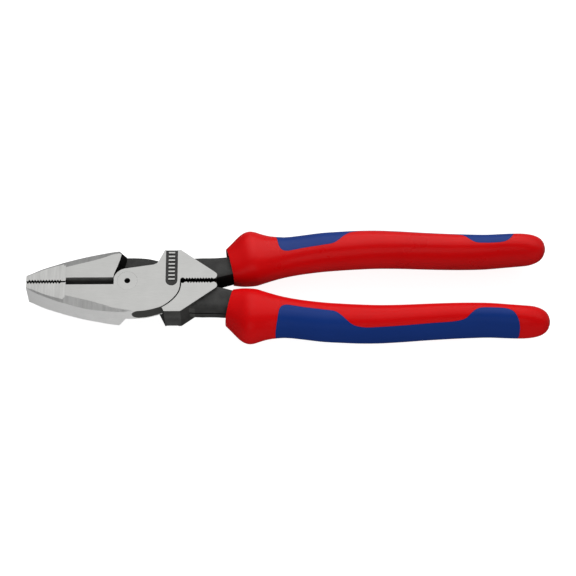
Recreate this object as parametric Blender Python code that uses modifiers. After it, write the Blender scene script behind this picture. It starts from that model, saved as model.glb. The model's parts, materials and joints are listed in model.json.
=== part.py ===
"""Lineman pliers, 240 mm: two congruent lap-jointed levers on one rivet, each in a two-component grip.

The tool lies flat: jaws towards -X, handles towards +X, +Z out of the polished face.
Both levers are one design. The back lever is the front lever turned half a turn about X.
All dimensions below are millimetres, measured from the pivot; the scene is in metres.
"""
import math

import bpy
import bmesh
from mathutils import Vector

MM = 0.001

# ---- driving dimensions -------------------------------------------------------------
TIP_X = -46.5             # front end of the jaws
GRIP_END_X = 193.5        # rear end of the grips: 240 mm over all
PIVOT_X = -(TIP_X + GRIP_END_X) / 2
HEAD_HALF = 7.7           # half thickness of the head (15.4 mm)
NOSE_HALF = 7.1           # half thickness of the ground-down nose
LAP_HALF = 0.05           # half of the clearance between the two lap planes
ARC_GAP = 0.6             # clearance of the curved joint edge behind the pivot
DISC_R = 6.4              # round front end of each lap half
SLOT_X0 = -28.2           # cutter slot
SLOT_X1 = -6.2
NOSE_TOOTH_PITCH = 1.3
NOSE_TEETH = 12
NOSE_CREST = 0.25         # distance of the tooth crests and roots from the centre line
NOSE_ROOT = 1.12
NOSE_FLAT = 0.38          # plain stretch behind the nose teeth
TAIL_TOOTH_PITCH = 1.27
TAIL_TEETH = 10
TAIL_CREST = 0.72
TAIL_ROOT = 1.4
RELIEF_X = 25.4
RELIEF_R = 1.15
RELIEF_TALL = 1.25        # the relief hole is taller than wide
RIVET_R = 3.5
RIVET_HEAD_R = 4.6
RIVET_HEAD_H = 1.4
RIVET_HOLE_R = 1.25
RIVET_HOLE_DEPTH = 2.8
RIVET_CLEAR = 0.06
LABEL_X = 20.3
LABEL_HALF = 2.75
LABEL_Y = 0.1
LABEL_DEPTH = 0.4
TANG_CLEAR = 0.3
INLAY_DEPTH = 1.7
INLAY_GAP = 0.2
RING_STEPS = 28           # points round a grip section
TANG_STEPS = 16           # points round a tang section
GRIP_POWER = 2.2          # superellipse exponent of the grip section
TANG_POWER = 5.0
MOUTH_POWER = 3.2

# side outline of the jaw and lap half: x, distance from the centre line
JAW_OUTLINE = [(-46.5, 3.0), (-44.8, 4.0), (-40.1, 6.4), (-35.4, 8.3), (-30.8, 9.95),
               (-26.1, 11.45), (-21.5, 12.75), (-16.9, 13.85), (-12.2, 14.65), (-7.6, 15.3),
               (-3.9, 15.7), (-0.9, 15.8), (3.0, 15.8), (7.9, 15.45), (10.4, 15.0), (12.8, 14.35),
               (15.6, 13.4), (17.5, 12.25), (19.8, 10.4), (21.9, 8.1), (23.3, 5.8), (24.0, 3.5),
               (24.2, 1.4), (24.25, 0.2)]
ARC_START = 16            # first point of the outline that belongs to the rear joint arc
# bevel of the jaw: x, face edge y and z, side edge y and z
MAIN_BEVEL = [(-29.3, 7.0, 7.7, 10.46, 6.0), (-16.5, 10.35, 7.7, 13.9, 5.86),
              (-10.5, 12.25, 7.7, 14.87, 6.36), (-6.4, 13.8, 7.7, 15.44, 6.7),
              (3.5, 16.0, 7.7, 16.6, 7.5)]
NOSE_BEVEL = [(-47.5, 2.2, 7.1, 2.9, 6.7), (-44.5, 3.6, 7.1, 4.15, 6.6), (-39.8, 5.7, 7.1, 6.52, 6.4),
              (-35.1, 7.4, 7.1, 8.4, 6.15), (-28.3, 9.45, 7.1, 10.76, 6.02)]
# shoulder that ends the full-thickness jaw: y, x at the face, x at the lap plane
SHOULDER = [(17.5, -6.3, -0.6), (15.3, -4.6, -0.9), (13.4, -3.0, -1.2), (10.3, -3.7, -2.1),
            (7.1, -4.8, -3.9), (4.3, -5.9, -5.3), (1.7, -6.45, -6.45), (0.0, -6.65, -6.65)]
# tang inside the grip: x, centre y, half width, half thickness
TANG = [(27.5, 8.0, 4.9, 6.0), (33.0, 7.3, 5.97, 6.2), (40.0, 7.27, 6.0, 6.3), (45.5, 8.23, 5.5, 6.1),
        (56.0, 10.5, 4.65, 5.9), (70.0, 13.2, 4.2, 5.6), (85.0, 15.7, 3.9, 5.3),
        (100.0, 17.5, 3.6, 5.0), (115.0, 18.2, 3.4, 4.8), (132.0, 17.8, 3.3, 4.7),
        (150.0, 16.9, 3.1, 4.6), (164.0, 16.6, 2.6, 4.2)]
# grip: x, centre y, half width, half thickness
GRIP = [(45.4, 10.5, 8.3, 8.4), (49.3, 12.0, 10.1, 9.9), (53.8, 14.2, 12.0, 11.7), (56.4, 14.95, 12.5, 12.2),
        (58.6, 15.0, 12.3, 12.1), (61.7, 14.75, 11.35, 11.4), (65.0, 14.85, 10.4, 10.7),
        (68.6, 15.2, 9.6, 10.15), (73.0, 15.7, 8.9, 9.9), (80.0, 16.8, 8.55, 10.0),
        (89.5, 18.1, 8.45, 10.3), (98.0, 18.75, 8.3, 10.5), (106.0, 19.2, 8.15, 10.75),
        (115.0, 19.4, 7.87, 11.0), (125.5, 19.1, 7.56, 11.1), (136.5, 18.5, 7.25, 11.25),
        (147.5, 18.0, 7.03, 11.3), (157.0, 17.75, 6.8, 11.35), (166.0, 17.75, 6.55, 11.3),
        (175.0, 18.35, 6.4, 11.1), (181.5, 18.7, 6.4, 10.5), (186.0, 18.75, 6.25, 9.4),
        (189.3, 18.85, 5.6, 7.7), (191.6, 18.9, 4.4, 5.7), (192.9, 18.95, 2.8, 3.6), (193.5, 18.95, 1.2, 1.6)]
MOUTH_LEAN = 0.24         # how far the mouth leans forward per millimetre of y
MOUTH_FADE = 17.0
# hollow mouth of the grip in front of the snug tang cavity: x, centre y, half width, half thickness
MOUTH = [(41.0, 9.0, 6.4, 6.8), (45.4, 9.7, 6.6, 7.5), (50.0, 10.6, 6.3, 7.4), (55.0, 10.9, 5.2, 6.5)]
# outline of the coloured inlay: x, y
INLAY_OUTLINE = [(66.7, 34.0), (67.8, 25.2), (68.8, 20.6), (69.7, 16.4), (71.0, 14.5), (73.4, 13.9),
                 (80.5, 15.2), (90.0, 16.7), (94.9, 17.6), (97.6, 19.4), (100.4, 22.0), (103.4, 24.0),
                 (108.2, 24.9), (116.0, 24.8), (126.0, 24.2), (139.0, 23.2), (150.0, 22.4),
                 (154.4, 21.4), (157.5, 18.8), (159.9, 17.2), (162.4, 16.7), (169.5, 16.8),
                 (173.4, 17.3), (176.0, 18.6), (177.9, 21.2), (179.3, 24.8), (180.4, 34.0)]


# ---- small helpers --------------------------------------------------------------------
def start_clean():
    for obj in list(bpy.data.objects):
        bpy.data.objects.remove(obj, do_unlink=True)


def new_collection(name):
    coll = bpy.data.collections.new(name)
    bpy.context.scene.collection.children.link(coll)
    return coll


def material(name, colour, roughness, metallic):
    mat = bpy.data.materials.new(name)
    mat.use_nodes = True
    shader = mat.node_tree.nodes["Principled BSDF"]
    shader.inputs["Base Color"].default_value = (*colour, 1.0)
    shader.inputs["Roughness"].default_value = roughness
    shader.inputs["Metallic"].default_value = metallic
    mat.diffuse_color = (*colour, 1.0)
    return mat


def add_object(name, mesh, coll, parent):
    obj = bpy.data.objects.new(name, mesh)
    coll.objects.link(obj)
    obj.parent = parent
    return obj


def face_out(shape):
    bmesh.ops.recalc_face_normals(shape, faces=shape.faces)
    if shape.calc_volume(signed=True) < 0:
        bmesh.ops.reverse_faces(shape, faces=shape.faces)


def as_cutter(obj):
    obj.hide_render = True
    obj.display_type = "WIRE"
    return obj


def prism(name, points, z0, z1, coll, parent):
    """Flat outline in XY, extruded from z0 to z1."""
    curve = bpy.data.curves.new(name + "_outline", "CURVE")
    curve.dimensions = "2D"
    curve.fill_mode = "BOTH"
    curve.extrude = (z1 - z0) / 2 * MM
    spline = curve.splines.new("POLY")
    spline.points.add(len(points) - 1)
    for point, (x, y) in zip(spline.points, points):
        point.co = (x * MM, y * MM, 0.0, 1.0)
    spline.use_cyclic_u = True
    flat = bpy.data.objects.new(name + "_flat", curve)
    coll.objects.link(flat)
    bpy.context.view_layer.update()
    mesh = bpy.data.meshes.new_from_object(flat.evaluated_get(bpy.context.evaluated_depsgraph_get()))
    bpy.data.objects.remove(flat, do_unlink=True)
    shape = bmesh.new()
    shape.from_mesh(mesh)
    bmesh.ops.remove_doubles(shape, verts=shape.verts, dist=1e-7)
    bmesh.ops.dissolve_limit(shape, angle_limit=0.001, verts=shape.verts, edges=shape.edges)
    bmesh.ops.translate(shape, verts=shape.verts, vec=(0.0, 0.0, (z0 + z1) / 2 * MM))
    face_out(shape)
    shape.to_mesh(mesh)
    shape.free()
    return add_object(name, mesh, coll, parent)


def loft(name, rings, coll, parent):
    """Skin through closed rings of equal point count, with flat ends."""
    shape = bmesh.new()
    loops = []
    for ring in rings:
        loops.append([shape.verts.new(Vector(point) * MM) for point in ring])
    count = len(rings[0])
    for near, far in zip(loops, loops[1:]):
        for i in range(count):
            j = (i + 1) % count
            shape.faces.new((near[i], near[j], far[j], far[i]))
    shape.faces.new(loops[0])
    shape.faces.new(loops[-1])
    bmesh.ops.triangulate(shape, faces=shape.faces)
    face_out(shape)
    mesh = bpy.data.meshes.new(name)
    shape.to_mesh(mesh)
    shape.free()
    return add_object(name, mesh, coll, parent)


def turned(name, profile, steps, coll, parent):
    """Solid of revolution about Z; the profile runs down the outer side, top to bottom."""
    mesh = bpy.data.meshes.new(name)
    verts = [(r * MM, 0.0, z * MM) for r, z in profile]
    edges = [(i, i + 1) for i in range(len(profile) - 1)]
    mesh.from_pydata(verts, edges, [])
    obj = add_object(name, mesh, coll, parent)
    screw = obj.modifiers.new("turn", "SCREW")
    screw.axis = "Z"
    screw.angle = 2 * math.pi
    screw.steps = steps
    screw.render_steps = steps
    screw.use_merge_vertices = True
    screw.merge_threshold = 0.000001
    return obj


def cut(target, cutter):
    mod = target.modifiers.new("cut_" + cutter.name, "BOOLEAN")
    mod.operation = "DIFFERENCE"
    mod.solver = "EXACT"
    mod.use_self = True
    mod.object = cutter


def join_with(target, tool, operation):
    mod = target.modifiers.new(operation.lower() + "_" + tool.name, "BOOLEAN")
    mod.operation = operation
    mod.solver = "EXACT"
    mod.use_self = True
    mod.object = tool


def superellipse(x, yc, a, b, power, count, lean=0.0):
    """Ring in a YZ plane; lean shears it along X with y."""
    ring = []
    for i in range(count):
        t = 2 * math.pi * (i + 0.5) / count
        c, s = math.cos(t), math.sin(t)
        y = yc + a * math.copysign(abs(c) ** (2 / power), c)
        z = b * math.copysign(abs(s) ** (2 / power), s)
        ring.append((x - lean * (y - MOUTH_FADE), y, z))
    return ring


# ---- lever ----------------------------------------------------------------------------
def arc(cx, cy, r, a0, a1, count):
    points = []
    for i in range(count + 1):
        a = math.radians(a0 + (a1 - a0) * i / count)
        points.append((cx + r * math.cos(a), cy + r * math.sin(a)))
    return points


def lever_outline(phase):
    """Lever seen from its own front: jaw below the centre line, wing and handle side above it."""
    pts = [(TIP_X, -NOSE_CREST - 0.2)]
    for i in range(NOSE_TEETH):
        x = TIP_X + (i + 0.2 + phase / 2) * NOSE_TOOTH_PITCH
        pts.append((x, -NOSE_CREST))
        pts.append((x + NOSE_TOOTH_PITCH / 2, -NOSE_ROOT))
    pts.append((-30.4, -NOSE_FLAT))
    pts.append((SLOT_X0 - 0.1, -NOSE_FLAT))
    pts.append((SLOT_X0 + 0.1, -0.06))
    pts += arc(0, 0, DISC_R, 180.5, 98, 12)
    pts += [(12.0, 8.3), (13.5, 9.0), (14.5, 10.5), (17.0, 15.8), (24.5, 15.8), (39.4, 4.8)]
    pts += arc(39.45, 2.55, 1.75, 45, -90, 6)
    for i in range(TAIL_TEETH - phase):
        x = 39.4 - (i + phase / 2) * TAIL_TOOTH_PITCH
        pts.append((x - TAIL_TOOTH_PITCH / 2, TAIL_ROOT))
        pts.append((x - TAIL_TOOTH_PITCH, TAIL_CREST))
    pts += [(x, y * RELIEF_TALL) for x, y in arc(RELIEF_X, 0, RELIEF_R, 40, 172, 7)]
    pts += [(x, -y) for x, y in reversed(JAW_OUTLINE)]
    return pts


def pocket_rings():
    """Room for the other lever's lap half, with a sloping shoulder on the jaw side."""
    arc_edge = []
    for x, y in JAW_OUTLINE[ARC_START:]:
        away = Vector((x - 8.0, y)).normalized() * ARC_GAP
        arc_edge.append((x + away.x, y + away.y))
    rings = []
    for z, stretch in ((-9.0, 9.0 / HEAD_HALF), (LAP_HALF, 0.0)):
        ring = [(low + (face - low) * stretch, -y, z) for y, face, low in SHOULDER]
        ring += [(-9.0, 0.6, z), (-9.0, 22.0, z), (12.0, 22.0, z), (15.3, 14.2, z)]
        ring += [(x, y, z) for x, y in arc_edge]
        ring += [(24.6, -3.0, z), (27.0, -22.0, z), (-0.5, -22.0, z)]
        rings.append(ring)
    return rings


def bevel_rings(stations, side):
    rings = []
    for x, yf, zf, ys, zs in stations:
        dy, dz = ys - yf, zs - zf
        size = math.hypot(dy, dz)
        dy, dz = dy / size, dz / size
        top = (yf - 0.8 * dy, zf - 0.8 * dz)
        low = (ys + 1.2 * dy, zs + 1.2 * dz)
        corner = (ys + 3.0, zf + 1.5)
        rings.append([(x, -y, side * z) for y, z in (top, low, corner)])
    return rings


def build_lever(name, phase, coll, cutters, parent, mat):
    lever = prism(name, lever_outline(phase), -HEAD_HALF, HEAD_HALF, coll, parent)
    lever.data.materials.append(mat)
    tools = [loft(name + "_slot", slot_rings(), cutters, parent)]
    tools.append(turned(name + "_bore", bore_profile(), 32, cutters, parent))
    label = [(LABEL_X - LABEL_HALF, 18.0)] + arc(LABEL_X, LABEL_Y, LABEL_HALF, 180, 360, 10)
    label += [(LABEL_X + LABEL_HALF, 18.0)]
    tools.append(prism(name + "_label_recess", label, HEAD_HALF - LABEL_DEPTH, 9.0, cutters, parent))
    tools.append(loft(name + "_lap_pocket", pocket_rings(), cutters, parent))
    for side, word in ((1, "front"), (-1, "rear")):
        z0, z1 = sorted((side * NOSE_HALF, side * 9.0))
        nose = [(TIP_X - 2, 2.0), (TIP_X - 2, -14.0), (-28.9, -14.0), (-28.5, -9.0), (-28.35, 2.0)]
        tools.append(prism(name + "_nose_" + word, nose, z0, z1, cutters, parent))
        tools.append(loft(name + "_bevel_" + word, bevel_rings(MAIN_BEVEL, side), cutters, parent))
        tools.append(loft(name + "_nose_bevel_" + word, bevel_rings(NOSE_BEVEL, side), cutters, parent))
    for tool in tools:
        cut(lever, as_cutter(tool))
    rings = [superellipse(*row, TANG_POWER, TANG_STEPS) for row in TANG]
    tang = as_cutter(loft(name + "_tang", rings, cutters, parent))
    join_with(lever, tang, "UNION")
    return lever


def slot_rings():
    section = [(-0.1, 0.0), (-1.3, 4.6), (-1.8, 7.7), (-1.95, 9.5), (1.0, 9.5),
               (1.0, -9.5), (-1.95, -9.5), (-1.8, -7.7), (-1.3, -4.6)]
    return [[(x, y, z) for y, z in section] for x in (SLOT_X0, SLOT_X1)]


def bore_profile():
    r = RIVET_R + RIVET_CLEAR
    head = RIVET_HEAD_R + RIVET_CLEAR
    low = HEAD_HALF - RIVET_HEAD_H
    return [(0, 9.0), (head + 0.9, 9.0), (head, HEAD_HALF), (r, low), (r, -low),
            (head, -HEAD_HALF), (head + 0.9, -9.0), (0, -9.0)]


# ---- rivet ----------------------------------------------------------------------------
def build_rivet(coll, parent, mat):
    top = HEAD_HALF - 0.02
    low = HEAD_HALF - RIVET_HEAD_H
    floor = top - RIVET_HOLE_DEPTH
    profile = [(0, floor - 0.7), (RIVET_HOLE_R, floor), (RIVET_HOLE_R, top), (RIVET_HEAD_R, top),
               (RIVET_R, low), (RIVET_R, -low), (RIVET_HEAD_R, -top), (RIVET_HOLE_R, -top),
               (RIVET_HOLE_R, -floor), (0, 0.7 - floor)]
    rivet = turned("pivot_rivet", profile, 32, coll, parent)
    rivet.data.materials.append(mat)
    return rivet


# ---- grips ----------------------------------------------------------------------------
def grip_rings(inset):
    rings = []
    for row in GRIP:
        x, yc, a, b = row
        fade = max(0.0, min(1.0, (62.0 - x) / 12.0))
        a = max(a - inset, 0.4)
        b = max(b - inset, 0.4)
        rings.append(superellipse(x, yc, a, b, GRIP_POWER, RING_STEPS, MOUTH_LEAN * fade))
    return rings


def trimmed_rings(inset, x0, x1):
    """Grip skin offset inwards (or outwards when inset is negative), between two stations."""
    rings = []
    for x, yc, a, b in GRIP:
        if x0 <= x <= x1:
            rings.append(superellipse(x, yc, a - inset, b - inset, GRIP_POWER, RING_STEPS))
    return rings


def shrink(points, gap):
    """Outline moved inwards by gap along its local normal, open ends left where they are."""
    out = []
    last = len(points) - 1
    for i, (x, y) in enumerate(points):
        x0, y0 = points[max(i - 1, 0)]
        x1, y1 = points[min(i + 1, last)]
        size = math.hypot(x1 - x0, y1 - y0)
        out.append((x - (y1 - y0) / size * gap, y + (x1 - x0) / size * gap))
    return out


def build_grip(prefix, coll, cutters, parent, sleeve_mat, inlay_mat):
    sleeve = loft(prefix, grip_rings(0.0), coll, parent)
    sleeve.data.materials.append(sleeve_mat)
    snug = []
    for x, yc, a, b in TANG[2:]:
        extra = TANG_CLEAR if x < 164 else 0.0
        snug.append(superellipse(x + (0.6 if extra == 0.0 else 0.0), yc, a + TANG_CLEAR,
                                 b + TANG_CLEAR, TANG_POWER, TANG_STEPS))
    hollow = as_cutter(loft(prefix + "_tang_cavity", snug, cutters, parent))
    cut(sleeve, hollow)
    mouth = [superellipse(*row, MOUTH_POWER, TANG_STEPS, MOUTH_LEAN) for row in MOUTH]
    cut(sleeve, as_cutter(loft(prefix + "_mouth", mouth, cutters, parent)))
    band = as_cutter(prism(prefix + "_inlay_pocket", INLAY_OUTLINE, -14.0, 14.0, cutters, parent))
    core = as_cutter(loft(prefix + "_pocket_floor", trimmed_rings(INLAY_DEPTH, 60.0, 187.0), cutters, parent))
    cut(band, core)
    cut(sleeve, band)

    inlay = loft(prefix + "_inlay", trimmed_rings(0.0, 60.0, 187.0), coll, parent)
    inlay.data.materials.append(inlay_mat)
    patch = as_cutter(prism(prefix + "_inlay_patch", shrink(INLAY_OUTLINE, INLAY_GAP), -14.0, 14.0,
                            cutters, parent))
    join_with(inlay, patch, "INTERSECT")
    floor = as_cutter(loft(prefix + "_inlay_floor", trimmed_rings(INLAY_DEPTH - INLAY_GAP, 55.0, 190.0),
                           cutters, parent))
    cut(inlay, floor)
    return sleeve, inlay


def axis_empty(name, coll, turn):
    empty = bpy.data.objects.new(name, None)
    empty.empty_display_type = "SINGLE_ARROW"
    empty.empty_display_size = 0.02
    empty.location = (PIVOT_X * MM, 0.0, 0.0)
    empty.rotation_euler = (turn, 0.0, 0.0)
    coll.objects.link(empty)
    return empty


def shade(objects):
    """Grips and inlays are round; the forged and ground levers keep flat faces."""
    for obj in objects:
        smooth = "grip" in obj.name
        for face in obj.data.polygons:
            face.use_smooth = smooth
        if smooth:
            obj.data.set_sharp_from_angle(angle=math.radians(40))


def main():
    start_clean()
    parts = new_collection("lineman_pliers")
    cutters = new_collection("cutters")
    steel = material("forged_steel", (0.46, 0.46, 0.45), 0.32, 1.0)
    rivet_steel = material("rivet_steel", (0.56, 0.56, 0.55), 0.28, 1.0)
    red = material("hard_red_grip", (0.62, 0.012, 0.014), 0.35, 0.0)
    blue = material("soft_blue_grip", (0.03, 0.07, 0.30), 0.6, 0.0)
    front = axis_empty("front_half_axis", parts, 0.0)
    back = axis_empty("back_half_axis", parts, math.pi)
    made = [
        build_lever("front_lever", 0, parts, cutters, front, steel),
        build_lever("back_lever", 1, parts, cutters, back, steel),
        build_rivet(parts, back, rivet_steel),
    ]
    made += build_grip("upper_grip", parts, cutters, front, red, blue)
    made += build_grip("lower_grip", parts, cutters, back, red, blue)
    shade(made)


main()
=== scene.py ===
"""Looks of the lineman pliers: ground and blackened steel, red and blue moulded grips, soft studio light."""
import json
import math

import bpy
import bmesh
from mathutils import Matrix, Vector


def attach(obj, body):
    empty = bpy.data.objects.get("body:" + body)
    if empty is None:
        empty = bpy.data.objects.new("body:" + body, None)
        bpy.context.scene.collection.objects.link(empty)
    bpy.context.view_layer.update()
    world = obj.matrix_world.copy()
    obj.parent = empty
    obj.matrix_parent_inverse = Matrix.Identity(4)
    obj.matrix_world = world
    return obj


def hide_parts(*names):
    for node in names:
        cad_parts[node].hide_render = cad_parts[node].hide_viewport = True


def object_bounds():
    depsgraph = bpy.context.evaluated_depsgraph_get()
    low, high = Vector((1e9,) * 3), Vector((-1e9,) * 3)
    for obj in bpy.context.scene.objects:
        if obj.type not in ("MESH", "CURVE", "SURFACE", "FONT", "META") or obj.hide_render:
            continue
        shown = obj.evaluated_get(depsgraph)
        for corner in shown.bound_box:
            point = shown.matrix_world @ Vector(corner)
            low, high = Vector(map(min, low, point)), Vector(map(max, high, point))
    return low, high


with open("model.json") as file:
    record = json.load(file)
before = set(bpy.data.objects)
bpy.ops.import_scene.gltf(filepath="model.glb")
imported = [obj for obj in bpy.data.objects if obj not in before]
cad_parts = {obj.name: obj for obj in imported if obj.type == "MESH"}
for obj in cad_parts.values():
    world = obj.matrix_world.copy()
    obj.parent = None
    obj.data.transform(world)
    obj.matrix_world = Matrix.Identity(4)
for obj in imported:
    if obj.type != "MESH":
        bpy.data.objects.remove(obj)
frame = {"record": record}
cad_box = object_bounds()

MM = 0.001
PIVOT = Vector(frame["record"]["behaviour"]["joints"][0]["pos_m"])

# ---- dimensions in millimetres, measured from the pivot, as in the CAD model --------------
TIP_X = -46.5
HEAD_HALF = 7.7
NOSE_HALF = 7.1
LAP_HALF = 0.05
ARC_GAP = 0.6
DISC_R = 6.4
SLOT_X0 = -28.2
SLOT_X1 = -6.2
NOSE_TOOTH_PITCH = 1.3
NOSE_TEETH = 12
NOSE_CREST = 0.25         # distance of the tooth crests and roots from the centre line
NOSE_ROOT = 1.12
NOSE_FLAT = 0.38          # plain stretch behind the nose teeth
TAIL_TOOTH_PITCH = 1.27
TAIL_TEETH = 10
TAIL_CREST = 0.72
TAIL_ROOT = 1.4
RELIEF_X = 25.4
RELIEF_R = 1.15
RELIEF_TALL = 1.25        # the relief hole is taller than wide
RIVET_R = 3.5
RIVET_HEAD_R = 4.6
RIVET_HEAD_H = 1.4
RIVET_HOLE_R = 1.25
RIVET_HOLE_DEPTH = 2.8
RIVET_CLEAR = 0.06
LABEL_X = 20.3
LABEL_HALF = 2.75
LABEL_Y = 0.1
LABEL_DEPTH = 0.4
RIB_COUNT = 8
RIB_PITCH = 1.95
RIB_Y0 = 0.4
RIB_HALF = 1.45
RIB_WIDTH = 0.75
TANG_CLEAR = 0.3
INLAY_DEPTH = 1.7
INLAY_GAP = 0.09
INLAY_REACH = 14.0        # half height of the tools that cut the inlay's outline
INLAY_SPAN = (60.0, 187.0)
INLAY_CORE_SPAN = (55.0, 190.0)
RING_STEPS = 88           # points round a grip section
TANG_STEPS = 48
TANG_STATIONS = 40
DIE_LINE_WIDTH = 0.45     # half width of the forging's die line
DIE_LINE_DEPTH = 0.4
GRIP_POWER = 2.2
TANG_POWER = 5.0
MOUTH_POWER = 3.2
EDGE_BREAK = 0.14         # rounded edge of the ground and forged steel
CRISP = 0.2               # share of it on the crisp edges

JAW_OUTLINE = [(-46.5, 3.0), (-44.8, 4.0), (-40.1, 6.4), (-35.4, 8.3), (-30.8, 9.95),
               (-26.1, 11.45), (-21.5, 12.75), (-16.9, 13.85), (-12.2, 14.65), (-7.6, 15.3),
               (-3.9, 15.7), (-0.9, 15.8), (3.0, 15.8), (7.9, 15.45), (10.4, 15.0), (12.8, 14.35),
               (15.6, 13.4), (17.5, 12.25), (19.8, 10.4), (21.9, 8.1), (23.3, 5.8), (24.0, 3.5),
               (24.2, 1.4), (24.25, 0.2)]
ARC_START = 16
OUTLINE_FINE = 3          # points between two points of an outline
MAIN_BEVEL = [(-29.3, 7.0, 7.7, 10.46, 6.0), (-16.5, 10.35, 7.7, 13.9, 5.86),
              (-10.5, 12.25, 7.7, 14.87, 6.36), (-6.4, 13.8, 7.7, 15.44, 6.7),
              (3.5, 16.0, 7.7, 16.6, 7.5)]
NOSE_BEVEL = [(-47.5, 2.2, 7.1, 2.9, 6.7), (-44.5, 3.6, 7.1, 4.15, 6.6), (-39.8, 5.7, 7.1, 6.52, 6.4),
              (-35.1, 7.4, 7.1, 8.4, 6.15), (-28.3, 9.45, 7.1, 10.76, 6.02)]
SHOULDER = [(17.5, -6.3, -0.6), (15.3, -4.6, -0.9), (13.4, -3.0, -1.2), (10.3, -3.7, -2.1),
            (7.1, -4.8, -3.9), (4.3, -5.9, -5.3), (1.7, -6.45, -6.45), (0.0, -6.65, -6.65)]
TANG = [(27.5, 8.0, 4.9, 6.0), (33.0, 7.3, 5.97, 6.2), (40.0, 7.27, 6.0, 6.3), (45.5, 8.23, 5.5, 6.1),
        (56.0, 10.5, 4.65, 5.9), (70.0, 13.2, 4.2, 5.6), (85.0, 15.7, 3.9, 5.3),
        (100.0, 17.5, 3.6, 5.0), (115.0, 18.2, 3.4, 4.8), (132.0, 17.8, 3.3, 4.7),
        (150.0, 16.9, 3.1, 4.6), (164.0, 16.6, 2.6, 4.2)]
GRIP = [(45.4, 10.5, 8.3, 8.4), (49.3, 12.0, 10.1, 9.9), (53.8, 14.2, 12.0, 11.7),
        (56.4, 14.95, 12.5, 12.2), (58.6, 15.0, 12.3, 12.1),
        (61.7, 14.75, 11.35, 11.4), (65.0, 14.85, 10.4, 10.7),
        (68.6, 15.2, 9.6, 10.15), (73.0, 15.7, 8.9, 9.9), (80.0, 16.8, 8.55, 10.0),
        (89.5, 18.1, 8.45, 10.3), (98.0, 18.75, 8.3, 10.5), (106.0, 19.2, 8.15, 10.75),
        (115.0, 19.4, 7.87, 11.0), (125.5, 19.1, 7.56, 11.1), (136.5, 18.5, 7.25, 11.25),
        (147.5, 18.0, 7.03, 11.3), (157.0, 17.75, 6.8, 11.35), (166.0, 17.75, 6.55, 11.3),
        (175.0, 18.35, 6.4, 11.1), (181.5, 18.7, 6.4, 10.5), (186.0, 18.75, 6.25, 9.4),
        (189.3, 18.85, 5.6, 7.7), (191.6, 18.9, 4.4, 5.7), (192.9, 18.95, 2.8, 3.6),
        (193.5, 18.95, 1.2, 1.6)]
GRIP_STEPS = [(45.4, 66.0, 26), (66.0, 181.5, 38), (181.5, 193.5, 20)]
MOUTH_LEAN = 0.24         # the collar's mouth lies askew by this much, and straight from LEAN_END on
LEAN_END = 62.0
LEAN_FADE = 12.0
MOUTH_FADE = 17.0
MOUTH_RINGS = 15
MOUTH = [(41.0, 9.0, 6.4, 6.8), (45.4, 9.7, 6.6, 7.5), (50.0, 10.6, 6.3, 7.4), (55.0, 10.9, 5.2, 6.5)]
INLAY_OUTLINE = [(66.7, 34.0), (67.8, 25.2), (68.8, 20.6), (69.7, 16.4), (71.0, 14.5), (73.4, 13.9),
                 (80.5, 15.2), (90.0, 16.7), (94.9, 17.6), (97.6, 19.4), (100.4, 22.0), (103.4, 24.0),
                 (108.2, 24.9), (116.0, 24.8), (126.0, 24.2), (139.0, 23.2), (150.0, 22.4),
                 (154.4, 21.4), (157.5, 18.8), (159.9, 17.2), (162.4, 16.7), (169.5, 16.8),
                 (173.4, 17.3), (176.0, 18.6), (177.9, 21.2), (179.3, 24.8), (180.4, 34.0)]


# ---- curves ---------------------------------------------------------------------------
def hermite(t, p1, m1, p2, m2):
    a = 2 * t ** 3 - 3 * t ** 2 + 1
    b = t ** 3 - 2 * t ** 2 + t
    return a * p1 + b * m1 + (1 - a) * p2 + (t ** 3 - t ** 2) * m2


def read_table(rows, x):
    """Smooth reading of a table of sections at x: the row with x in front."""
    last = len(rows) - 1
    i = 0
    while i < last - 1 and x > rows[i + 1][0]:
        i += 1
    p1, p2 = rows[i], rows[i + 1]
    p0, p3 = rows[max(i - 1, 0)], rows[min(i + 2, last)]
    span = p2[0] - p1[0]
    t = (x - p1[0]) / span
    out = [x]
    for k in range(1, len(p1)):
        m1 = (p2[k] - p0[k]) / (p2[0] - p0[0]) * span
        m2 = (p3[k] - p1[k]) / (p3[0] - p1[0]) * span
        out.append(hermite(t, p1[k], m1, p2[k], m2))
    return out


def flow(points, fine):
    """Smooth curve through flat points, with the given number of new points in each gap."""
    last = len(points) - 1
    out = []
    for i in range(last):
        p0, p1, p2, p3 = (Vector(points[min(max(j, 0), last)]) for j in (i - 1, i, i + 1, i + 2))
        span = (p2 - p1).length
        m1 = (p2 - p0) / ((p1 - p0).length + span) * span
        m2 = (p3 - p1) / ((p3 - p2).length + span) * span
        for k in range(fine + 1):
            out.append(tuple(hermite(k / (fine + 1), p1, m1, p2, m2)))
    out.append(tuple(points[-1]))
    return out


def arc(cx, cy, r, a0, a1, count):
    points = []
    for i in range(count + 1):
        a = math.radians(a0 + (a1 - a0) * i / count)
        points.append((cx + r * math.cos(a), cy + r * math.sin(a)))
    return points


def superellipse(x, yc, a, b, power, count, lean=0.0):
    ring = []
    for i in range(count):
        t = 2 * math.pi * (i + 0.5) / count
        c, s = math.cos(t), math.sin(t)
        y = yc + a * math.copysign(abs(c) ** (2 / power), c)
        z = b * math.copysign(abs(s) ** (2 / power), s)
        ring.append((x - lean * (y - MOUTH_FADE), y, z))
    return ring


# ---- meshes ---------------------------------------------------------------------------
def show(name, mesh):
    obj = bpy.data.objects.new(name, mesh)
    bpy.context.scene.collection.objects.link(obj)
    return obj


def face_out(shape):
    bmesh.ops.recalc_face_normals(shape, faces=shape.faces)
    if shape.calc_volume(signed=True) < 0:
        bmesh.ops.reverse_faces(shape, faces=shape.faces)


def keep_mesh(shape, name):
    mesh = bpy.data.meshes.new(name)
    shape.to_mesh(mesh)
    shape.free()
    return show(name, mesh)


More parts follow.
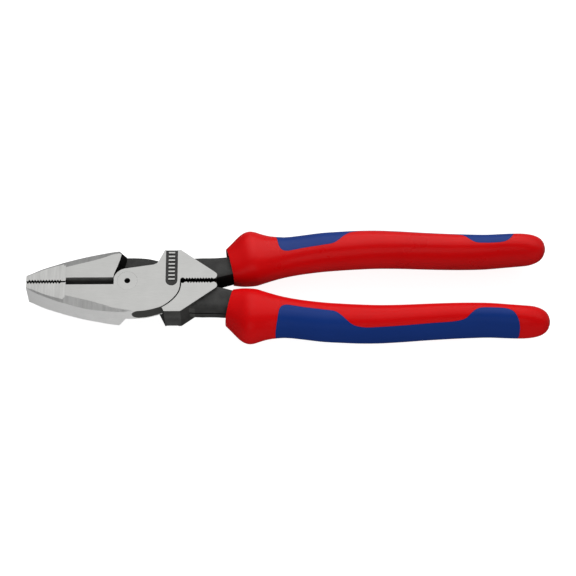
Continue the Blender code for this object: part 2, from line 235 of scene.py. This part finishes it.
def prism(name, points, z0, z1):
    """Flat outline in XY, extruded from z0 to z1."""
    shape = bmesh.new()
    low = [shape.verts.new(Vector((x, y, z0)) * MM) for x, y in points]
    high = [shape.verts.new(Vector((x, y, z1)) * MM) for x, y in points]
    for i in range(len(points)):
        j = (i + 1) % len(points)
        shape.faces.new((low[i], low[j], high[j], high[i]))
    shape.faces.new(low)
    shape.faces.new(high)
    face_out(shape)
    return keep_mesh(shape, name)


def loft(name, rings, split=True):
    """Skin through closed rings of equal point count, with flat ends."""
    shape = bmesh.new()
    loops = []
    for ring in rings:
        loops.append([shape.verts.new(Vector(point) * MM) for point in ring])
    count = len(rings[0])
    for near, far in zip(loops, loops[1:]):
        for i in range(count):
            j = (i + 1) % count
            shape.faces.new((near[i], near[j], far[j], far[i]))
    shape.faces.new(loops[0])
    shape.faces.new(loops[-1])
    if split:
        bmesh.ops.triangulate(shape, faces=shape.faces)
    face_out(shape)
    return keep_mesh(shape, name)


def turned(name, profile, steps):
    """Solid of revolution about Z; the profile runs from axis to axis."""
    shape = bmesh.new()
    verts = [shape.verts.new((r * MM, 0.0, z * MM)) for r, z in profile]
    edges = [shape.edges.new(pair) for pair in zip(verts, verts[1:])]
    bmesh.ops.spin(shape, geom=verts + edges, axis=(0, 0, 1), cent=(0, 0, 0), steps=steps,
                   angle=2 * math.pi, use_merge=True, use_duplicate=False)
    bmesh.ops.remove_doubles(shape, verts=shape.verts, dist=1e-7)
    face_out(shape)
    return keep_mesh(shape, name)


def combine(target, tool, operation="DIFFERENCE"):
    mod = target.modifiers.new(tool.name, "BOOLEAN")
    mod.operation = operation
    mod.solver = "EXACT"
    mod.use_self = True
    mod.object = tool


def settle(obj, tools):
    """Applies the cuts and removes the tools."""
    bpy.context.view_layer.update()
    graph = bpy.context.evaluated_depsgraph_get()
    mesh = bpy.data.meshes.new_from_object(obj.evaluated_get(graph))
    obj.modifiers.clear()
    obj.data = mesh
    for tool in tools:
        bpy.data.objects.remove(tool, do_unlink=True)


def shade(obj, angle):
    for face in obj.data.polygons:
        face.use_smooth = True
    obj.data.set_sharp_from_angle(angle=math.radians(angle))


def place(obj, node, body, turned_over):
    """Sets a finished piece on the pivot, hangs it on its body and hides the CAD node it stands for."""
    turn = Matrix.Rotation(math.pi, 4, "X") if turned_over else Matrix.Identity(4)
    obj.matrix_world = Matrix.Translation(PIVOT) @ turn
    bpy.context.view_layer.update()
    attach(obj, body)
    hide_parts(node)


# ---- lever ----------------------------------------------------------------------------
def lever_outline(phase):
    pts = [(TIP_X, -NOSE_CREST - 0.2)]
    for i in range(NOSE_TEETH):
        x = TIP_X + (i + 0.2 + phase / 2) * NOSE_TOOTH_PITCH
        pts.append((x, -NOSE_CREST))
        pts.append((x + NOSE_TOOTH_PITCH / 2, -NOSE_ROOT))
    pts.append((-30.4, -NOSE_FLAT))
    pts.append((SLOT_X0 - 0.1, -NOSE_FLAT))
    pts.append((SLOT_X0 + 0.1, -0.06))
    pts += arc(0, 0, DISC_R, 180.5, 98, 24)
    pts += [(12.0, 8.3), (13.5, 9.0), (14.5, 10.5), (17.0, 15.8), (24.5, 15.8), (39.4, 4.8)]
    pts += arc(39.45, 2.55, 1.75, 45, -90, 14)
    for i in range(TAIL_TEETH - phase):
        x = 39.4 - (i + phase / 2) * TAIL_TOOTH_PITCH
        pts.append((x - TAIL_TOOTH_PITCH / 2, TAIL_ROOT))
        pts.append((x - TAIL_TOOTH_PITCH, TAIL_CREST))
    pts += [(x, y * RELIEF_TALL) for x, y in arc(RELIEF_X, 0, RELIEF_R, 40, 172, 12)]
    pts += [(x, -y) for x, y in reversed(flow(JAW_OUTLINE, OUTLINE_FINE))]
    return pts


def pocket_rings():
    arc_edge = []
    for x, y in flow(JAW_OUTLINE[ARC_START:], OUTLINE_FINE):
        away = Vector((x - 8.0, y)).normalized() * ARC_GAP
        arc_edge.append((x + away.x, y + away.y))
    rings = []
    for z, stretch in ((-9.0, 9.0 / HEAD_HALF), (LAP_HALF, 0.0)):
        ring = [(low + (face - low) * stretch, -y, z) for y, face, low in SHOULDER]
        ring += [(-9.0, 0.6, z), (-9.0, 22.0, z), (12.0, 22.0, z), (15.3, 14.2, z)]
        ring += [(x, y, z) for x, y in arc_edge]
        ring += [(24.6, -3.0, z), (27.0, -22.0, z), (-0.5, -22.0, z)]
        rings.append(ring)
    return rings


def bevel_rings(stations, side):
    rings = []
    for x, yf, zf, ys, zs in stations:
        slope = Vector((ys - yf, zs - zf)).normalized()
        top = (yf - 0.8 * slope.x, zf - 0.8 * slope.y)
        low = (ys + 1.2 * slope.x, zs + 1.2 * slope.y)
        corner = (ys + 3.0, zf + 1.5)
        rings.append([(x, -y, side * z) for y, z in (top, low, corner)])
    return rings


def label_tools(name):
    """Recess with a round inner end and a row of plain ribs left standing in it."""
    edge = [(LABEL_X - LABEL_HALF, 18.0)] + arc(LABEL_X, LABEL_Y, LABEL_HALF, 180, 360, 24)
    edge += [(LABEL_X + LABEL_HALF, 18.0)]
    recess = prism(name + "_label", edge, HEAD_HALF - LABEL_DEPTH, 9.0)
    ribs = []
    for i in range(RIB_COUNT):
        y = RIB_Y0 + i * RIB_PITCH
        x0, x1 = LABEL_X - RIB_HALF, LABEL_X + RIB_HALF
        rib = [(x0, y), (x1, y), (x1, y + RIB_WIDTH), (x0, y + RIB_WIDTH)]
        ribs.append(prism(name + "_rib", rib, HEAD_HALF - 1.0, 9.5))
        combine(recess, ribs[-1])
    return recess, ribs


def slot_rings():
    section = [(-0.1, 0.0), (-1.3, 4.6), (-1.8, 7.7), (-1.95, 9.5), (1.0, 9.5),
               (1.0, -9.5), (-1.95, -9.5), (-1.8, -7.7), (-1.3, -4.6)]
    return [[(x, y, z) for y, z in section] for x in (SLOT_X0, SLOT_X1)]


def bore_profile():
    r = RIVET_R + RIVET_CLEAR
    head = RIVET_HEAD_R + RIVET_CLEAR
    low = HEAD_HALF - RIVET_HEAD_H
    return [(0, 9.0), (head + 0.9, 9.0), (head, HEAD_HALF), (r, low), (r, -low),
            (head, -HEAD_HALF), (head + 0.9, -9.0), (0, -9.0)]


def tang_rings():
    """Rounded bar with the shallow line that the forging dies leave along its outer side."""
    rings = []
    for i in range(TANG_STATIONS + 1):
        x = TANG[0][0] + (TANG[-1][0] - TANG[0][0]) * i / TANG_STATIONS
        x, yc, a, b = read_table(TANG, x)
        ring = superellipse(x, yc, a, b, TANG_POWER, TANG_STEPS)
        outer = yc + a
        ring += [(x, outer, -DIE_LINE_WIDTH), (x, outer - DIE_LINE_DEPTH, 0.0)]
        ring += [(x, outer, DIE_LINE_WIDTH)]
        rings.append(ring)
    return rings


FACE, NOSE, BEVEL, SIDE, BLACK, LIT_SLOT_WALL, SHADED, LIT_WING_SIDE = range(8)


def lever_finish(face):
    """Material index of a lever's face, from where it lies and which way it looks.

    SHADED is a near-black copy of the forging's skin, painted shade for walls that stand in deep shade.
    The slot's and the wing's walls get lighter copies of it: painted light.
    """
    x, y, z = face.center / MM
    n = face.normal
    flat = abs(n.z) > 0.985
    upright = abs(n.z) < 0.3
    if flat and abs(z) > HEAD_HALF - 0.05:
        return FACE
    if flat and abs(abs(z) - NOSE_HALF) < 0.05 and x < -28:
        return NOSE
    if x < 4 and y < -2 and n.y < -0.25 and 0.3 < abs(n.z) < 0.985 and n.x < 0.3:
        return BEVEL
    if x < 18.5 and y < -2.5 and n.y < -0.3 and upright:
        return SIDE
    if x < -45 and n.x < -0.6:
        return SIDE
    # Painted light: the slot's walls get a lighter copy of the black skin, in place of the light they would
    # catch.
    if SLOT_X0 < x < SLOT_X1 and abs(y) < 2 and abs(z) > 0.3 and n.y > 0.85:
        return LIT_SLOT_WALL
    # Painted shade: near-black on the walls between the teeth, on the shoulder beside the pivot and on the
    # tang's inner side.
    if abs(y) < 1.7 and (x < SLOT_X0 or x > 24) and upright:
        return SHADED
    if x < 0.5 and y < -1 and n.x > 0.4:
        return SHADED
    if x > 30 and y > 0 and n.y < -0.6:
        return SHADED
    # Painted light: the wing's side walls get a lighter copy of the black skin.
    if 14 < x < 30 and y > 11.0 and upright and n.x > -0.3:
        return LIT_WING_SIDE
    # Painted shade: near-black on the walls round the joint and on one wall of the die line.
    if x > 19.4 and -12 < y < 0 and n.x > 0.3 and upright:
        return SHADED
    if x > 17 and z < 0 < y < 12.5 and n.x < -0.3 and upright:
        return SHADED
    if x > 27 and y > 0 and abs(z) < DIE_LINE_WIDTH and n.y > 0.3 and n.z * z < 0:
        return SHADED
    return BLACK


def build_lever(name, phase, materials):
    lever = prism(name, lever_outline(phase), -HEAD_HALF, HEAD_HALF)
    recess, ribs = label_tools(name)
    tools = [loft(name + "_slot", slot_rings()), turned(name + "_bore", bore_profile(), 64), recess,
             loft(name + "_lap_pocket", pocket_rings())]
    for side in (1, -1):
        z0, z1 = sorted((side * NOSE_HALF, side * 9.0))
        nose = [(TIP_X - 2, 2.0), (TIP_X - 2, -14.0), (-28.9, -14.0), (-28.5, -9.0), (-28.35, 2.0)]
        tools.append(prism(name + "_nose", nose, z0, z1))
        tools.append(loft(name + "_bevel", bevel_rings(MAIN_BEVEL, side)))
        tools.append(loft(name + "_nose_bevel", bevel_rings(NOSE_BEVEL, side)))
    for tool in tools:
        combine(lever, tool)
    tang = loft(name + "_tang", tang_rings())
    combine(lever, tang, "UNION")
    settle(lever, tools + ribs + [tang])
    for mat in materials:
        lever.data.materials.append(mat)
    for face in lever.data.polygons:
        face.material_index = lever_finish(face)
    shade(lever, 12)
    break_edges(lever)
    return lever


def break_edges(lever):
    """Rounds the sharp edges, and the crisp ones round teeth, slot, bore and joint only a little."""
    shape = bmesh.new()
    shape.from_mesh(lever.data)
    weight = shape.edges.layers.float.new("bevel_weight_edge")
    for edge in shape.edges:
        if len(edge.link_faces) != 2 or edge.calc_face_angle() < math.radians(24):
            continue
        x, y, z = (edge.verts[0].co + edge.verts[1].co) / 2 / MM
        centre_line = abs(y) < 1.7 and (x < -5 or x > 24)
        bore = math.hypot(x, y) < RIVET_HEAD_R + 0.3
        joint = x > 14 and y < 0
        edge[weight] = CRISP if centre_line or bore or joint else 1.0
    shape.to_mesh(lever.data)
    shape.free()
    bevel = lever.modifiers.new("edge_break", "BEVEL")
    bevel.width = EDGE_BREAK * MM
    bevel.segments = 2
    bevel.limit_method = "WEIGHT"
    bevel.use_clamp_overlap = True


# ---- rivet ----------------------------------------------------------------------------
def build_rivet(materials):
    top = HEAD_HALF - 0.02
    low = HEAD_HALF - RIVET_HEAD_H
    floor = top - RIVET_HOLE_DEPTH
    rim = RIVET_HEAD_R + RIVET_CLEAR - 0.02
    half = [(0, floor - 0.7), (RIVET_HOLE_R, floor), (RIVET_HOLE_R, top - 0.1), (RIVET_HOLE_R + 0.1, top),
            (rim - 0.02, top), (rim, top - 0.02), (RIVET_R, low)]
    rivet = turned("rivet", half + [(r, -z) for r, z in reversed(half)], 96)
    for mat in materials:
        rivet.data.materials.append(mat)
    for face in rivet.data.polygons:
        bright = abs(face.normal.z) > 0.9 and abs(face.center.z) > 7 * MM
        face.material_index = 0 if bright else 1
    shade(rivet, 20)
    return rivet


# ---- grips ----------------------------------------------------------------------------
def grip_stations():
    """Even steps, closer together at the collar and at the rounded end."""
    out = []
    for x0, x1, count in GRIP_STEPS:
        out += [x0 + (x1 - x0) * i / count for i in range(count)]
    return out + [GRIP_STEPS[-1][1]]


def grip_rings(inset, x0=0.0, x1=200.0, lean=MOUTH_LEAN):
    rings = []
    for station in grip_stations():
        if x0 <= station <= x1:
            x, yc, a, b = read_table(GRIP, station)
            fade = max(0.0, min(1.0, (LEAN_END - x) / LEAN_FADE))
            a = max(a - inset, 0.4)
            b = max(b - inset, 0.4)
            rings.append(superellipse(x, yc, a, b, GRIP_POWER, RING_STEPS, lean * fade))
    return rings


def hollow_rings():
    rings = []
    for x, yc, a, b in TANG[2:]:
        rings.append(superellipse(x, yc, a + TANG_CLEAR, b + TANG_CLEAR, TANG_POWER, TANG_STEPS))
    return rings


def mouth_rings():
    rings = []
    for i in range(MOUTH_RINGS):
        section = read_table(MOUTH, MOUTH[0][0] + i)
        rings.append(superellipse(*section, MOUTH_POWER, TANG_STEPS, MOUTH_LEAN))
    return rings


def shrink(points, gap):
    """Outline moved inwards by the gap, point by point."""
    out = []
    last = len(points) - 1
    for i, (x, y) in enumerate(points):
        x0, y0 = points[max(i - 1, 0)]
        x1, y1 = points[min(i + 1, last)]
        size = math.hypot(x1 - x0, y1 - y0)
        out.append((x - (y1 - y0) / size * gap, y + (x1 - x0) / size * gap))
    return out


def build_grip(prefix, sleeve_mat, inlay_mat):
    outline = flow(INLAY_OUTLINE, OUTLINE_FINE)
    sleeve = loft(prefix + "_sleeve", grip_rings(0.0), split=False)
    band = prism(prefix + "_band", outline, -INLAY_REACH, INLAY_REACH)
    core = loft(prefix + "_core", grip_rings(INLAY_DEPTH, *INLAY_SPAN, 0.0))
    tools = [loft(prefix + "_hollow", hollow_rings()), loft(prefix + "_mouth", mouth_rings()), band]
    combine(band, core)
    for tool in tools:
        combine(sleeve, tool)
    settle(sleeve, tools + [core])
    sleeve.data.materials.clear()
    sleeve.data.materials.append(sleeve_mat)
    shade(sleeve, 32)

    inlay = loft(prefix + "_insert", grip_rings(0.0, *INLAY_SPAN, 0.0), split=False)
    patch = prism(prefix + "_patch", shrink(outline, INLAY_GAP), -INLAY_REACH, INLAY_REACH)
    core = loft(prefix + "_core", grip_rings(INLAY_DEPTH - INLAY_GAP, *INLAY_CORE_SPAN, 0.0))
    combine(inlay, patch, "INTERSECT")
    combine(inlay, core)
    settle(inlay, [patch, core])
    inlay.data.materials.clear()
    inlay.data.materials.append(inlay_mat)
    shade(inlay, 32)
    return sleeve, inlay


# ---- material building -----------------------------------------------------------------
class Surface:
    """A Principled material and short ways to add nodes to it."""

    def __init__(self, name, metallic, roughness):
        self.mat = bpy.data.materials.new(name)
        self.mat.use_nodes = True
        self.tree = self.mat.node_tree
        self.shader = self.tree.nodes["Principled BSDF"]
        self.shader.inputs["Metallic"].default_value = metallic
        self.shader.inputs["Roughness"].default_value = roughness
        self.place = self.node("ShaderNodeTexCoord").outputs["Object"]

    def node(self, kind, **settings):
        made = self.tree.nodes.new(kind)
        for key, value in settings.items():
            setattr(made, key, value)
        return made

    def feed(self, socket, value):
        if isinstance(value, bpy.types.NodeSocket):
            self.tree.links.new(value, socket)
        else:
            socket.default_value = value

    def noise(self, scale, detail=3.0, roughness=0.5, stretch=(1, 1, 1)):
        """Noise with stretch as the number of features per metre over scale along each axis."""
        mapping = self.node("ShaderNodeMapping")
        self.feed(mapping.inputs["Vector"], self.place)
        mapping.inputs["Scale"].default_value = stretch
        tex = self.node("ShaderNodeTexNoise")
        self.feed(tex.inputs["Vector"], mapping.outputs["Vector"])
        tex.inputs["Scale"].default_value = scale
        tex.inputs["Detail"].default_value = detail
        tex.inputs["Roughness"].default_value = roughness
        return tex.outputs["Fac"]

    def spread(self, value, low, high, start=0.3, end=0.7):
        """Noise value turned into a range of numbers."""
        ramp = self.node("ShaderNodeMapRange")
        self.feed(ramp.inputs["Value"], value)
        for key, number in (("From Min", start), ("From Max", end), ("To Min", low), ("To Max", high)):
            ramp.inputs[key].default_value = number
        return ramp.outputs["Result"]

    def math(self, operation, a, b=0.0):
        made = self.node("ShaderNodeMath", operation=operation)
        self.feed(made.inputs[0], a)
        self.feed(made.inputs[1], b)
        return made.outputs[0]

    def mix(self, factor, a, b):
        made = self.node("ShaderNodeMix", data_type="RGBA")
        self.feed(made.inputs["Factor"], factor)
        self.feed(made.inputs["A"], a if isinstance(a, bpy.types.NodeSocket) else (*a, 1.0))
        self.feed(made.inputs["B"], b if isinstance(b, bpy.types.NodeSocket) else (*b, 1.0))
        return made.outputs["Result"]

    def scaled(self, colour, amount):
        """Colour made darker or lighter by a number that varies."""
        made = self.node("ShaderNodeVectorMath", operation="SCALE")
        self.feed(made.inputs[0], colour)
        self.feed(made.inputs["Scale"], amount)
        return made.outputs[0]

    def bump(self, height, strength, distance):
        made = self.node("ShaderNodeBump")
        made.inputs["Strength"].default_value = strength
        made.inputs["Distance"].default_value = distance
        self.feed(made.inputs["Height"], height)
        self.feed(self.shader.inputs["Normal"], made.outputs["Normal"])


def ground_steel(name, tone, roughness, along, band=0.0, black_pocket=False, metallic=1.0):
    """Ground steel; along is the direction of the grinding marks, band the light and dark stripes."""
    s = Surface(name, metallic, roughness)
    fine = (0.05, 1.0, 1.0) if along == "x" else (1.0, 0.05, 0.05)
    broad = (0.02, 0.3, 0.3) if along == "x" else (0.3, 0.012, 0.012)
    scratch = s.noise(6000.0, 4.0, 0.6, fine)
    stripe = s.noise(2600.0, 3.0, 0.55, broad)
    cloud = s.noise(160.0, 3.0, 0.55)
    level = s.math("MULTIPLY", s.spread(cloud, 0.975, 1.025), s.spread(scratch, 0.94, 1.06))
    level = s.math("MULTIPLY", level, s.spread(stripe, 1.0 - band, 1.0 + band))
    colour = s.scaled(tone, level)
    rough = s.spread(scratch, roughness - 0.05, roughness + 0.06)
    if black_pocket:
        colour, rough = pocket_paint(s, colour, rough)
    s.feed(s.shader.inputs["Base Color"], colour)
    s.feed(s.shader.inputs["Roughness"], rough)
    s.bump(scratch, 0.25, 0.00002)
    return s.mat


POCKET_END = 0.0058       # place of the black hollow's round end, in metres from the pivot
POCKET_HEIGHT = 0.0043
POCKET_INNER = 0.0034
POCKET_OUTER = 0.0037
POCKET_ROUGHNESS = 0.55


def pocket_paint(s, colour, rough):
    """The forging's hollow beside the pivot keeps its black skin: a long field with one round end."""
    split = s.node("ShaderNodeSeparateXYZ")
    s.feed(split.inputs[0], s.place)
    x = s.math("SUBTRACT", split.outputs["X"], POCKET_END)
    x = s.math("MINIMUM", x, 0.0)
    z = s.math("SUBTRACT", split.outputs["Z"], POCKET_HEIGHT)
    reach = s.math("SQRT", s.math("ADD", s.math("MULTIPLY", x, x), s.math("MULTIPLY", z, z)))
    inside = s.spread(reach, 1.0, 0.0, POCKET_INNER, POCKET_OUTER)
    made = s.node("ShaderNodeMix", data_type="FLOAT")
    s.feed(made.inputs["Factor"], inside)
    s.feed(made.inputs["A"], rough)
    s.feed(made.inputs["B"], POCKET_ROUGHNESS)
    return s.mix(inside, colour, (0.07, 0.07, 0.067)), made.outputs["Result"]


def black_steel(name, tone, roughness, metallic=0.1):
    """Forged steel with its blackened skin."""
    s = Surface(name, metallic, roughness)
    s.shader.inputs["Specular IOR Level"].default_value = 0.08
    grain = s.noise(2200.0, 5.0, 0.65)
    cloud = s.noise(180.0, 3.0, 0.6)
    level = s.math("MULTIPLY", s.spread(cloud, 0.8, 1.25), s.spread(grain, 0.85, 1.15))
    s.feed(s.shader.inputs["Base Color"], s.scaled(tone, level))
    s.feed(s.shader.inputs["Roughness"], s.spread(cloud, roughness - 0.06, roughness + 0.08))
    s.bump(grain, 0.35, 0.00005)
    return s.mat


def moulded(name, tone, roughness, shine, grain_scale, grain_height):
    """Plastic or rubber with a fine moulded grain; shine is its specular level."""
    s = Surface(name, 0.0, roughness)
    grain = s.noise(grain_scale, 2.0, 0.5)
    cloud = s.noise(60.0, 3.0, 0.5)
    s.feed(s.shader.inputs["Base Color"], s.scaled(tone, s.spread(cloud, 0.965, 1.035)))
    s.feed(s.shader.inputs["Roughness"], s.spread(cloud, roughness - 0.03, roughness + 0.04))
    s.shader.inputs["Specular IOR Level"].default_value = shine
    s.bump(grain, 0.3, grain_height)
    return s.mat


# ---- studio ---------------------------------------------------------------------------
CAMERA_RISE = 62.5
CAMERA_DISTANCE = 1.0
CAMERA_LENS = 135.3
CAMERA_ROLL = -0.37
CAMERA_AIM = Vector((0.00025, -0.00036, 0.0))
SOFTBOX_EDGE = 104.0      # where the overhead softbox ends, counted from the rear horizon over the top
SOFTBOX_LEVEL = 1.0
ROOM_LEVEL = 0.05
TABLE_LEVEL = 0.45        # the room below the table top, for matt and for polished undersides
TABLE_SHEEN = 0.02
FLOOR_GAP = 0.0002        # the floor lies this far under the lowest point
FLOOR_TONE = 0.3
FLOOR_GLOW = 0.93
BOX_SOFT = 0.04           # half width of the softbox's edge
FILLS = [("rear", (0.0, 0.9, 0.8), 1.4, 13.0), ("front", (0.0, -1.1, 0.45), 1.0, 8.5)]


class WorldNodes:
    """Short ways to build the room's brightness as a function of direction."""

    def __init__(self):
        world = bpy.data.worlds.new("studio")
        bpy.context.scene.world = world
        world.use_nodes = True
        self.tree = world.node_tree
        self.background = self.tree.nodes["Background"]
        self.direction = self.tree.nodes.new("ShaderNodeTexCoord").outputs["Generated"]

    def along(self, axis):
        made = self.tree.nodes.new("ShaderNodeVectorMath")
        made.operation = "DOT_PRODUCT"
        made.inputs[1].default_value = axis
        self.tree.links.new(self.direction, made.inputs[0])
        return made.outputs["Value"]

    def step(self, value, start, end, low=0.0, high=1.0):
        made = self.tree.nodes.new("ShaderNodeMapRange")
        made.interpolation_type = "SMOOTHSTEP"
        for key, number in (("From Min", start), ("From Max", end), ("To Min", low), ("To Max", high)):
            made.inputs[key].default_value = number
        self.tree.links.new(value, made.inputs["Value"])
        return made.outputs["Result"]

    def math(self, operation, a, b):
        made = self.tree.nodes.new("ShaderNodeMath")
        made.operation = operation
        self.tree.links.new(a, made.inputs[0])
        self.tree.links.new(b, made.inputs[1])
        return made.outputs[0]


def make_world():
    """One long softbox overhead and behind, dimmer to the left and low at the back; a dim room.

    Below the horizon the level depends on the ray: matt undersides see a bright table,
    polished ones a dark one.
    """
    room = WorldNodes()
    edge = math.radians(SOFTBOX_EDGE)
    over = room.along((0.0, math.sin(edge), -math.cos(edge)))
    box = room.step(over, -BOX_SOFT, BOX_SOFT, ROOM_LEVEL, SOFTBOX_LEVEL)
    box = room.math("MULTIPLY", box, room.step(room.along((1.0, 0.0, 0.0)), -0.45, -0.05, 0.15, 1.0))
    box = room.math("MULTIPLY", box, room.step(room.along((0.0, 0.0, 1.0)), 0.1, 0.5, 0.2, 1.0))
    polished = room.tree.nodes.new("ShaderNodeLightPath").outputs["Is Glossy Ray"]
    table = room.step(polished, 0.0, 1.0, TABLE_LEVEL, TABLE_SHEEN)
    below = room.math("MULTIPLY", room.step(room.along((0.0, 0.0, 1.0)), 0.0, -0.1), table)
    room.tree.links.new(room.math("MAXIMUM", box, below), room.background.inputs["Strength"])
    room.background.inputs["Color"].default_value = (1.0, 1.0, 1.0, 1.0)


def make_fills():
    """Wide soft lamps for the matt colours; they leave no reflections of their own."""
    for name, spot, size, power in FILLS:
        data = bpy.data.lights.new(name, "AREA")
        data.shape = "DISK"
        data.size = size
        data.energy = power
        lamp = bpy.data.objects.new(name, data)
        bpy.context.scene.collection.objects.link(lamp)
        lamp.location = spot
        lamp.rotation_mode = "QUATERNION"
        lamp.rotation_quaternion = Vector(spot).to_track_quat("Z", "Y")
        lamp.visible_glossy = False


def make_floor():
    """Pale floor that only the camera sees, so it adds no light and no reflection."""
    shape = bmesh.new()
    bmesh.ops.create_grid(shape, x_segments=2, y_segments=2, size=3.0)
    mesh = bpy.data.meshes.new("floor")
    shape.to_mesh(mesh)
    shape.free()
    floor = show("floor", mesh)
    floor.location.z = cad_box[0].z - FLOOR_GAP
    floor.visible_glossy = False
    floor.visible_diffuse = False
    s = Surface("light_table", 0.0, 0.9)
    speck = s.noise(900.0, 2.0, 0.5)
    s.feed(s.shader.inputs["Base Color"], s.scaled([FLOOR_TONE] * 3, s.spread(speck, 0.99, 1.01)))
    s.shader.inputs["Specular IOR Level"].default_value = 0.1
    s.shader.inputs["Emission Color"].default_value = (1.0, 1.0, 1.0, 1.0)
    s.shader.inputs["Emission Strength"].default_value = FLOOR_GLOW
    floor.data.materials.append(s.mat)


def make_camera():
    rise = math.radians(CAMERA_RISE)
    back = Vector((0.0, -math.cos(rise), math.sin(rise)))
    data = bpy.data.cameras.new("camera")
    data.lens = CAMERA_LENS
    data.sensor_width = 36.0
    data.clip_start = 0.05
    data.clip_end = 20.0
    camera = bpy.data.objects.new("camera", data)
    bpy.context.scene.collection.objects.link(camera)
    look = (-back).to_track_quat("-Z", "Y").to_matrix().to_4x4()
    roll = Matrix.Rotation(math.radians(CAMERA_ROLL), 4, "Z")
    camera.matrix_world = Matrix.Translation(CAMERA_AIM + back * CAMERA_DISTANCE) @ look @ roll
    bpy.context.scene.camera = camera


def lever_materials():
    """Finishes of the front and back lever in the order of FACE, NOSE and so on.

    Both levers are the same steel. The back lever's bevel is a darker copy, painted shade, because
    the studio here leaves it brighter than the real one looks.
    """
    face = ground_steel("ground_face", (0.66, 0.66, 0.645), 0.33, "x", 0.01)
    nose = ground_steel("ground_nose", (0.70, 0.70, 0.685), 0.36, "y", 0.12)
    bevel = ground_steel("ground_bevel", (0.73, 0.73, 0.72), 0.34, "y", 0.1, metallic=0.5)
    # Painted shade: a darker copy of the bevel's steel for the back lever's bevel.
    rear_bevel_painted_shade = ground_steel("ground_bevel_shaded", (0.38, 0.38, 0.375), 0.34, "y", 0.1, metallic=0.5)
    side = ground_steel("ground_side", (0.90, 0.90, 0.89), 0.4, "x", 0.01, black_pocket=True, metallic=0.15)
    black = black_steel("black_forging", (0.045, 0.045, 0.044), 0.5)
    # Painted light: a lighter copy of the black skin for the slot's walls.
    slot_wall_painted_light = black_steel("slot_wall_painted_light", (0.13, 0.13, 0.127), 0.5)
    # Painted shade: a near-black copy of the forging's skin for walls that stand in deep shade.
    painted_shade = black_steel("painted_shade_wall", (0.006, 0.006, 0.006), 0.55)
    # Painted light: a lighter copy of the black skin for the wing's side walls.
    wing_side_painted_light = black_steel("wing_side_painted_light", (0.07, 0.07, 0.068), 0.5)
    shared = [side, black, slot_wall_painted_light, painted_shade, wing_side_painted_light]
    return [face, nose, bevel] + shared, [face, nose, rear_bevel_painted_shade] + shared


def main():
    bpy.context.scene.view_settings.view_transform = "Standard"
    finishes, back_finishes = lever_materials()
    black = finishes[BLACK]
    rivet_face = ground_steel("rivet_face", (0.66, 0.66, 0.645), 0.33, "x", 0.01)
    red = moulded("red_moulding", (0.595, 0.0035, 0.0045), 0.29, 0.2, 5000.0, 0.00001)
    blue = moulded("blue_moulding", (0.005, 0.031, 0.19), 0.42, 0.3, 3500.0, 0.00002)
    # The lower grip is the same plastic and rubber. Its copies are less shiny.
    # Painted shade: these copies shine less than the upper grip's, so the lower grip shows less highlight
    # than the light here gives it.
    red_painted_shade = moulded("red_moulding_painted_shade", (0.605, 0.0035, 0.0045), 0.29, 0.12, 5000.0, 0.00001)
    blue_painted_shade = moulded("blue_moulding_painted_shade", (0.005, 0.031, 0.188), 0.42, 0.19, 3500.0, 0.00002)

    place(build_lever("front_forging", 0, finishes), "front_lever", "front_half", False)
    place(build_lever("back_forging", 1, back_finishes), "back_lever", "back_half", True)
    place(build_rivet([rivet_face, black]), "pivot_rivet", "back_half", True)
    halves = [("upper", "front_half", False, red, blue), ("lower", "back_half", True, red_painted_shade, blue_painted_shade)]
    for half, body, over, hard, soft in halves:
        sleeve, inlay = build_grip(half, hard, soft)
        place(sleeve, half + "_grip", body, over)
        place(inlay, half + "_grip_inlay", body, over)

    make_world()
    make_fills()
    make_floor()
    make_camera()


main()
